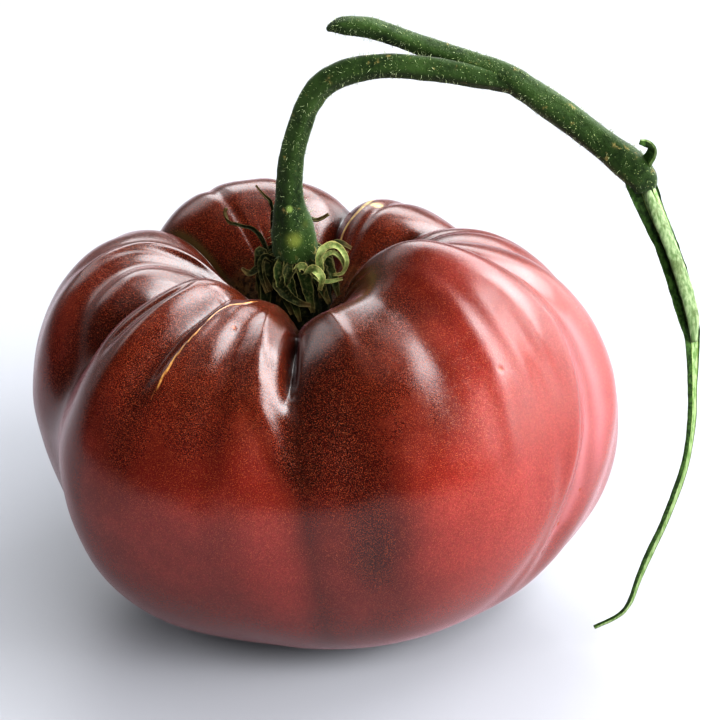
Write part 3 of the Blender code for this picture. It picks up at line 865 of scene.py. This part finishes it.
def strip_material():
    """Green skin that turns into pale fibrous flesh across the torn face."""
    made, tree, shader = material("strip")
    where = object_coordinates(tree)
    fine = noise_node(tree, where, 1.3, 4.0, 0.65)
    fibre = noise_node(tree, stretched(tree, where, 0.12), 2.6, 4.0, 0.6)
    skin = mix(tree, remap(tree, fine, 0.35, 0.65), STRIP_DARK, STRIP_LIGHT)
    flesh = mix(tree, remap(tree, fibre, 0.38, 0.62), FLESH_GREEN, FLESH_PALE)
    torn = remap(tree, plus(tree, attribute(tree, "torn"), times(tree, fibre, 0.3)), 0.5, 0.75)
    colour = mix(tree, torn, skin, flesh)
    rim = times(tree, torn, maths(tree, "SUBTRACT", 1.0, torn))
    colour = mix(tree, times(tree, rim, 2.4), colour, TORN_RIM)
    tree.links.new(colour, shader.inputs["Base Color"])
    settings(shader, Roughness=0.5, Specular_IOR_Level=0.25)
    bump(tree, shader, plus(tree, fibre, fine), 0.14, 0.9)
    return made


def torn_mask(count, half, low, high):
    """Where a ribbon is torn flesh: 0 on the skin side, 1 on its face between two shares of the width."""
    across = np.cos(math.pi * np.arange(1, half) / half)
    face = smooth((across - low) / 0.25 + 0.5) * (1.0 - smooth((across - high) / 0.25 + 0.5))
    ring = np.concatenate([np.zeros(half + 1), face])
    return np.broadcast_to(ring[None, :], (count, 2 * half))


def pith_material():
    made, tree, shader = material("pith")
    where = object_coordinates(tree)
    fibre = noise_node(tree, stretched(tree, where, 0.18), 2.2, 4.0, 0.6)
    colour = mix(tree, remap(tree, fibre, 0.35, 0.65), PITH_GREEN, PITH_PALE)
    blot = remap(tree, noise_node(tree, where, 0.5, 3.0), 0.5, 0.64, 0.0, 0.6)
    colour = mix(tree, blot, colour, PITH_BLOT)
    tree.links.new(colour, shader.inputs["Base Color"])
    settings(shader, Roughness=0.5, Specular_IOR_Level=0.25)
    bump(tree, shader, fibre, 0.12, 0.8)
    return made


# colours of the calyx
CALYX_SPECK = (0.39, 0.338, 0.156)
CALYX_EDGE = (0.312, 0.26, 0.117)
CALYX_TIP = (0.091, 0.058, 0.026)


def calyx_material(name, dark, light, share, edges):
    """A dry leaf: its two tones, and how much its specks and its edges show."""
    made, tree, shader = material(name)
    where = object_coordinates(tree)
    broad = noise_node(tree, where, 0.35, 4.0, 0.6)
    fine = noise_node(tree, where, 2.0, 4.0, 0.65)
    colour = mix(tree, remap(tree, broad, 0.36, 0.66), dark, light)
    colour = mix(tree, remap(tree, fine, 0.45, 0.7, 0.0, share), colour, CALYX_SPECK)
    edge = remap(tree, attribute(tree, "edge"), 0.7, 1.0, 0.0, edges)
    colour = mix(tree, edge, colour, CALYX_EDGE)
    tip = remap(tree, attribute(tree, "along"), 0.7, 1.0, 0.0, 0.5)
    colour = mix(tree, tip, colour, CALYX_TIP)
    tree.links.new(colour, shader.inputs["Base Color"])
    settings(shader, Roughness=0.6, Specular_IOR_Level=0.12)
    bump(tree, shader, fine, 0.15, 0.8)
    return made


# sepals, as rows of x, y, z and width
SEPALS = [
    [(-9.6, 4.6, 57.8, 3.0), (-11.4, 5.9, 63.0, 2.2), (-12.9, 7.3, 64.6, 1.8), (-15.1, 8.4, 64.9, 1.5),
     (-17.3, 9.2, 65.2, 1.2), (-18.1, 9.4, 66.8, 1.0), (-17.9, 9.4, 67.8, 0.7)],
    [(-8.6, 6.6, 57.3, 3.0), (-9.9, 8.1, 63.3, 2.3), (-10.1, 9.4, 68.3, 1.8), (-11.6, 10.3, 69.9, 1.2),
     (-12.7, 10.6, 71.4, 0.7)],
    [(-4.8, 7.0, 57.3, 2.8), (-4.1, 8.6, 62.9, 2.2), (-3.6, 8.0, 66.2, 1.8), (-2.4, 8.1, 66.2, 1.4),
     (-0.6, 8.4, 67.2, 0.8)],
    [(-3.4, 0.0, 58.3, 3.0), (-2.2, -1.5, 61.7, 2.6), (-2.1, -1.6, 64.7, 2.4), (-0.9, -1.5, 66.2, 2.2),
     (0.5, -1.4, 66.4, 2.0), (1.7, -1.4, 65.3, 1.8), (2.4, -1.5, 63.3, 1.5), (1.7, -1.7, 61.4, 1.1),
     (0.2, -2.2, 61.3, 0.8)],
    [(-4.4, -0.7, 59.8, 2.6), (-3.0, -2.5, 62.4, 2.0), (-1.7, -3.5, 61.4, 1.6), (-2.0, -3.7, 59.2, 0.8)],
    [(-8.0, -0.5, 57.8, 3.0), (-8.6, -2.2, 59.2, 2.6), (-7.2, -3.6, 58.1, 2.0), (-5.2, -4.1, 57.0, 1.4),
     (-3.5, -3.7, 56.4, 0.8)],
    [(-10.0, 3.6, 58.3, 2.4), (-11.7, 3.2, 62.7, 2.4), (-12.0, 2.3, 62.0, 2.2), (-11.6, 0.6, 59.7, 1.8),
     (-10.1, -1.2, 57.7, 1.2)],
    [(-3.4, 4.9, 58.8, 2.8), (-1.0, 6.1, 61.4, 2.4), (1.2, 6.5, 62.6, 1.8), (3.2, 6.1, 61.8, 0.9)],
    [(-6.4, 7.2, 57.5, 3.0), (-6.8, 9.6, 61.6, 2.6), (-7.6, 12.0, 62.4, 2.0), (-8.8, 14.0, 61.4, 1.3),
     (-9.4, 15.2, 61.8, 0.8)],
    [(-10.0, 1.6, 57.0, 2.6), (-11.9, 1.2, 60.4, 2.2), (-13.6, 0.4, 60.2, 1.6), (-14.9, 0.2, 61.2, 0.8)],
]
# the width of each, as a share of its row above
SEPAL_SHARE = [0.4, 0.36, 0.45, 0.6, 0.8, 0.8, 0.8, 0.8, 0.8, 0.7]
PALE_SEPALS = (3, 4)
# dry flaps that hang round the foot of the stem: azimuth, lower radius, lower height, twist, width
FLAPS = [
    (8.0, 6.6, 54.0, 14.0, 2.4),
    (40.0, 6.2, 55.5, -12.0, 2.2),
    (75.0, 6.8, 54.5, 10.0, 2.4),
    (112.0, 6.4, 55.0, -14.0, 2.3),
    (150.0, 7.0, 54.0, 12.0, 2.4),
    (183.0, 6.2, 53.4, -10.0, 2.2),
    (207.0, 7.2, 52.8, 18.0, 2.4),
    (231.0, 6.3, 54.2, 34.0, 2.0),
    (250.0, 7.0, 53.2, 26.0, 1.8),
    (262.0, 5.9, 56.0, -22.0, 1.9),
    (283.0, 6.6, 54.4, 12.0, 2.1),
    (303.0, 7.3, 55.4, 16.0, 1.9),
    (326.0, 6.5, 56.6, -16.0, 2.2),
    (345.0, 7.0, 54.6, 10.0, 2.2),
]
# thin curled strands, as rows of x, y, z, width
STRANDS = [
    [(-2.2, -1.0, 62.2, 0.9), (-1.2, -1.6, 64.4, 0.8), (0.2, -1.6, 65.2, 0.8), (1.5, -1.6, 64.0, 0.7),
     (2.2, -1.7, 62.2, 0.5)],
    [(-3.4, -1.6, 61.4, 0.8), (-2.0, -2.4, 60.4, 0.7), (-0.2, -2.7, 60.4, 0.7), (1.8, -2.2, 60.6, 0.5)],
    [(-5.7, -0.6, 60.8, 0.7), (-5.6, -1.2, 62.0, 1.2), (-4.7, -1.4, 62.5, 1.3), (-4.2, -1.5, 61.5, 0.6)],
    [(-9.6, 1.8, 62.0, 1.0), (-11.2, 0.8, 63.2, 0.9), (-11.9, 0.4, 61.8, 0.9), (-11.6, -0.2, 59.6, 0.7),
     (-10.8, -1.6, 57.6, 0.6)],
    [(-2.6, 2.6, 62.0, 0.9), (-0.8, 3.0, 63.0, 0.8), (0.9, 2.4, 62.4, 0.7), (2.6, 2.0, 63.4, 0.4)],
]
PALE_STRANDS = (0, 1, 2)
# a flap's outline, as rows of its share of the length, distance from the stem and share of the width
FLAP_OUTLINE = [(0.0, 3.3, 0.9), (0.16, 4.7, 1.0), (0.45, 5.7, 0.95), (0.75, 0.0, 0.7), (1.0, 0.0, 0.35)]
FLAP_BEND = 0.45
FLAP_OUT = 5.7
FLAP_TOP = 62.3
# collar: radius, height
COLLAR = [(2.6, 49.1), (4.2, 49.9), (5.2, 52.2), (5.4, 55.2), (4.9, 58.6), (4.3, 61.0), (3.9, 62.3)]


def sepal_mesh(name, controls, seed):
    """A dry, cupped blade with a raised midrib and ragged edges."""
    rows = spline(controls, 14 * len(controls))
    middle = np.mean(np.array(controls)[:, :2], axis=0)
    out = (middle[0] - AXIS_X, middle[1] - AXIS_Y)
    lift = (out[0] * 0.3 + 0.01, out[1] * 0.3 - 2.0, 3.0)
    side, face = frames(rows[:, :3], lift)
    across = np.linspace(-1.0, 1.0, 13)
    count = len(rows)
    along = np.linspace(0.0, 1.0, count)
    centre = rows[:, None, :3]
    line = np.stack([along * 30.0, along * 0.0, along * 0.0 + seed * 9.0], axis=-1)
    ragged = 1.0 + 0.16 * noise3(line, 1.6, seed)
    half = (0.5 * rows[:, 3] * ragged)[:, None]
    cup = 0.45 * (across**2)[None, :] * half - 0.12 * np.exp(-((across / 0.22) ** 2))[None, :]
    blade = centre + (across[None, :] * half)[..., None] * side[:, None, :]
    crumple = 0.16 * noise3(blade, 1.2, seed + 3)
    thick = (0.16 + 0.22 * (1.0 - across**2))[None, :] * np.ones((count, 1))
    top = blade + (cup + crumple)[..., None] * face[:, None, :]
    low = top - thick[..., None] * face[:, None, :]
    rings = np.concatenate([top, low[:, ::-1]], axis=1)
    edge = np.concatenate([np.abs(across), np.abs(across[::-1])])[None, :]
    return ring_mesh(name, rings, {"along": along[:, None], "edge": edge})


def flap_controls(azimuth, radius, low, twist, width):
    """A blade that leaves the foot of the stem and hangs down over the collar."""
    rows = []
    for along, out, wide in FLAP_OUTLINE:
        r = out if out else FLAP_OUT + (radius - FLAP_OUT) * (along - FLAP_BEND) / (1.0 - FLAP_BEND)
        turn = math.radians(azimuth + twist * along)
        z = FLAP_TOP - (FLAP_TOP - low) * along ** 1.25
        rows.append((AXIS_X + r * math.cos(turn), AXIS_Y + r * math.sin(turn), z, width * wide))
    return rows


def collar_mesh():
    """The dark fluted collar round the foot of the stem."""
    count, sides = 60, 96
    rows = spline([(0.0, 0.0, z, r) for r, z in COLLAR], count)
    turn = np.linspace(0.0, 2.0 * math.pi, sides, endpoint=False)[None, :]
    radius = rows[:, 3][:, None]
    wave = 1.0 + 0.07 * np.cos(5.0 * turn + 0.6) + 0.03 * np.cos(17.0 * turn)
    x = AXIS_X + radius * wave * np.cos(turn)
    y = AXIS_Y + radius * wave * np.sin(turn)
    z = np.broadcast_to(rows[:, 2][:, None], (count, sides))
    ring = np.stack([x, y, z], axis=-1)
    out = np.stack([np.cos(turn), np.sin(turn), 0.0 * turn], axis=-1)
    ring = ring + (0.22 * noise3(ring, 1.3, 8))[..., None] * out
    return ring_mesh("calyx_collar", ring, {"along": 0.0, "edge": 0.0})


def hairs(name, skins, count, length, thick, seed):
    """Fine tapered hairs that stand out of the stems, as one mesh of three-sided needles."""
    rng = np.random.default_rng(seed)
    points = []
    faces = []
    for skin, out, share in skins:
        rows, columns = skin.shape[:2]
        for _ in range(int(count * share)):
            i = rng.integers(2, rows - 2)
            j = rng.integers(0, columns)
            root = skin[i, j] - 0.05 * out[i, j]
            lean = rng.normal(0.0, 0.35, 3)
            way = out[i, j] + lean
            way = way / np.linalg.norm(way)
            size = length * rng.uniform(0.35, 1.0) ** 1.3
            bend = rng.normal(0.0, 0.12, 3) * size
            a = np.cross(way, [0.3, 0.8, 0.5])
            a = a / np.linalg.norm(a)
            b = np.cross(way, a)
            start = len(points)
            middle = root + way * size * 0.55 + bend * 0.4
            tip = root + way * size + bend
            for centre, radius in ((root, thick), (middle, thick * 0.6)):
                for n in range(3):
                    angle = 2.0 * math.pi * n / 3.0
                    points.append(centre + radius * (math.cos(angle) * a + math.sin(angle) * b))
            points.append(tip)
            for n in range(3):
                k = (n + 1) % 3
                faces.append((start + n, start + k, start + 3 + k))
                faces.append((start + n, start + 3 + k, start + 3 + n))
                faces.append((start + 3 + n, start + 3 + k, start + 6))
            faces.append((start + 2, start + 1, start))
    return link_mesh(name, points, faces)


def hair_material():
    made, tree, shader = material("stem_hair")
    where = object_coordinates(tree)
    colour = mix(tree, remap(tree, noise_node(tree, where, 0.4, 2.0), 0.35, 0.65), HAIR_DARK, HAIR_LIGHT)
    tree.links.new(colour, shader.inputs["Base Color"])
    settings(shader, Roughness=0.4)
    return made


def dress(obj, slot_name, look, *nodes):
    """Gives a piece its material and body, and hides the solids it stands for; slot_name is not used."""
    obj.data.materials.clear()
    obj.data.materials.append(look)
    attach(obj, "root")
    if nodes:
        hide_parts(*nodes)


dress(make_fruit(), "skin", skin_material(), "fruit")

green = stem_material()
pedicel, pedicel_skin, pedicel_out = stem_tube("pedicel", PEDICEL, 260, 5, 0.045, 2)
dress(pedicel, "stem", green, "stem")
truss, truss_skin, truss_out = stem_tube("vine", TRUSS, 280, 4, 0.05, 5)
dress(truss, "stem", green)
strip_look = strip_material()
for name, controls, count, half, facing, uneven, seed, torn in RIBBONS:
    rings = ribbon_rings(controls, count, half, facing, uneven, seed)
    dress(ring_mesh(name, rings, {"torn": torn_mask(count, half, *torn)}), "stem", strip_look)
pith_rings = ribbon_rings(PITH, 120, 8, STRIP_FACING, 0.08, 7)
dress(ring_mesh("torn_pith", pith_rings, {}), "pith", pith_material(), "pith")

# hairs: skin, outward directions and share of the hairs on each stem; their number, length and thickness
HAIRY = [(pedicel_skin, pedicel_out, 0.42), (truss_skin, truss_out, 0.58)]
dress(hairs("stem_hairs", HAIRY, 2400, 1.25, 0.03, 3), "stem", hair_material())

dry = calyx_material("calyx_dry", (0.0026, 0.0039, 0.0013), (0.01, 0.014, 0.0052), 0.08, 0.15)
pale = calyx_material("calyx_pale", (0.052, 0.072, 0.023), (0.195, 0.234, 0.098), 0.3, 0.5)
moss = calyx_material("calyx_moss", (0.0039, 0.0078, 0.0026), (0.016, 0.026, 0.0078), 0.10, 0.2)
dress(collar_mesh(), "calyx", dry, "calyx")
for number, controls in enumerate(SEPALS):
    look = pale if number in PALE_SEPALS else dry
    slim = [(x, y, z, w * SEPAL_SHARE[number]) for x, y, z, w in controls]
    dress(sepal_mesh("sepal_%02d" % number, slim, number + 1), "calyx", look)
for number, row in enumerate(FLAPS):
    look = moss if number % 3 else dry
    dress(sepal_mesh("flap_%02d" % number, flap_controls(*row), number + 20), "calyx", look)
for number, controls in enumerate(STRANDS):
    look = pale if number in PALE_STRANDS else dry
    dress(sepal_mesh("strand_%02d" % number, controls, number + 40), "calyx", look)

# floor
bpy.ops.mesh.primitive_plane_add(size=6.0, location=(0.0, 0.0, 0.0))
floor = bpy.context.object
floor.name = "floor"
floor_look, floor_tree, floor_shader = material("floor")
settings(floor_shader, Base_Color=(0.2, 0.204, 0.22, 1.0), Roughness=0.5)
floor.data.materials.append(floor_look)

# light: soft windows on the right and behind, in a dim room
# windows: azimuth of the middle, half width, lower edge, upper edge, blur in degrees, and light
WINDOWS = [
    (20.0, 25.0, 24.0, 63.0, 4.0, 9.0),
    (78.0, 33.0, 22.0, 51.0, 4.0, 4.6),
    (58.0, 30.0, 60.0, 72.0, 3.0, 1.5),
    (128.0, 18.0, 22.0, 54.0, 6.0, 1.5),
    (20.0, 40.0, -4.0, 20.0, 7.0, 2.3),
    (-14.0, 10.0, 12.0, 46.0, 5.0, 1.7),
]
BACK_WALL_LIGHT = 0.35
CEILING_LIGHT = 0.3
ROOM_LIGHT = 0.03


def window_mask(tree, way, height, row):
    """How far a direction lies inside one window, from 0 to 1."""
    azimuth, half, low, high, blur, light = row
    mid = math.radians(azimuth)
    x = way.outputs["X"]
    y = way.outputs["Y"]
    ahead = plus(tree, times(tree, x, math.cos(mid)), times(tree, y, math.sin(mid)))
    across = maths(tree, "SUBTRACT", times(tree, y, math.cos(mid)), times(tree, x, math.sin(mid)))
    turned = maths(tree, "ABSOLUTE", maths(tree, "ARCTAN2", across, ahead), 0.0)
    turned = times(tree, turned, 180.0 / math.pi)
    inside = remap(tree, turned, half - blur, half + blur, 1.0, 0.0)
    inside = times(tree, inside, remap(tree, height, low - blur, low + blur))
    inside = times(tree, inside, remap(tree, height, high - blur, high + blur, 1.0, 0.0))
    return times(tree, inside, light)


world = bpy.data.worlds.new("studio")
world.use_nodes = True
sky_tree = world.node_tree
sky = sky_tree.nodes["Background"]
way = sky_tree.nodes.new("ShaderNodeSeparateXYZ")
sky_tree.links.new(sky_tree.nodes.new("ShaderNodeTexCoord").outputs["Generated"], way.inputs["Vector"])
height = times(sky_tree, maths(sky_tree, "ARCSINE", way.outputs["Z"], 0.0), 180.0 / math.pi)
back_wall = remap(sky_tree, way.outputs["Y"], -0.1, 0.75, ROOM_LIGHT, BACK_WALL_LIGHT)
ceiling = remap(sky_tree, way.outputs["Z"], 0.93, 1.0, 0.0, CEILING_LIGHT)
glow = plus(sky_tree, back_wall, ceiling)
for row in WINDOWS:
    glow = plus(sky_tree, glow, window_mask(sky_tree, way, height, row))
sky_tree.links.new(glow, sky.inputs["Strength"])
sky.inputs["Color"].default_value = (0.955, 0.975, 1.0, 1.0)
bpy.context.scene.world = world

# soft fills, which show on the matt surfaces only: place, size and power
FILLS = [
    ((1.30, -0.42, 0.61), 0.7, 47.0),
    ((0.50, -1.02, 0.98), 0.9, 30.0),
    ((-1.12, -0.55, 0.83), 0.9, 11.0),
]
for number, (place, size, power) in enumerate(FILLS):
    fill_data = bpy.data.lights.new("fill_%d" % number, "AREA")
    fill_data.shape = "SQUARE"
    fill_data.size = size
    fill_data.energy = power
    fill = bpy.data.objects.new("fill_%d" % number, fill_data)
    fill.location = place
    fill.rotation_euler = (-Vector(place)).to_track_quat("-Z", "Y").to_euler()
    fill.visible_glossy = False
    bpy.context.scene.collection.objects.link(fill)

# camera
CAMERA = (0.00465, -0.38583, 0.26758)
TARGET = (0.00465, 0.00345, 0.04183)
SENSOR_MM = 36.0
LENS_MM = 132.1
camera_data = bpy.data.cameras.new("camera")
camera_data.sensor_width = SENSOR_MM
camera_data.lens = LENS_MM
camera = bpy.data.objects.new("camera", camera_data)
camera.location = CAMERA
camera.rotation_euler = (Vector(TARGET) - Vector(CAMERA)).to_track_quat("-Z", "Y").to_euler()
bpy.context.scene.collection.objects.link(camera)
bpy.context.scene.camera = camera

scene = bpy.context.scene
scene.view_settings.view_transform = "Standard"
scene.view_settings.look = "High Contrast"
scene.cycles.use_denoising = True

bpy.context.view_layer.update()
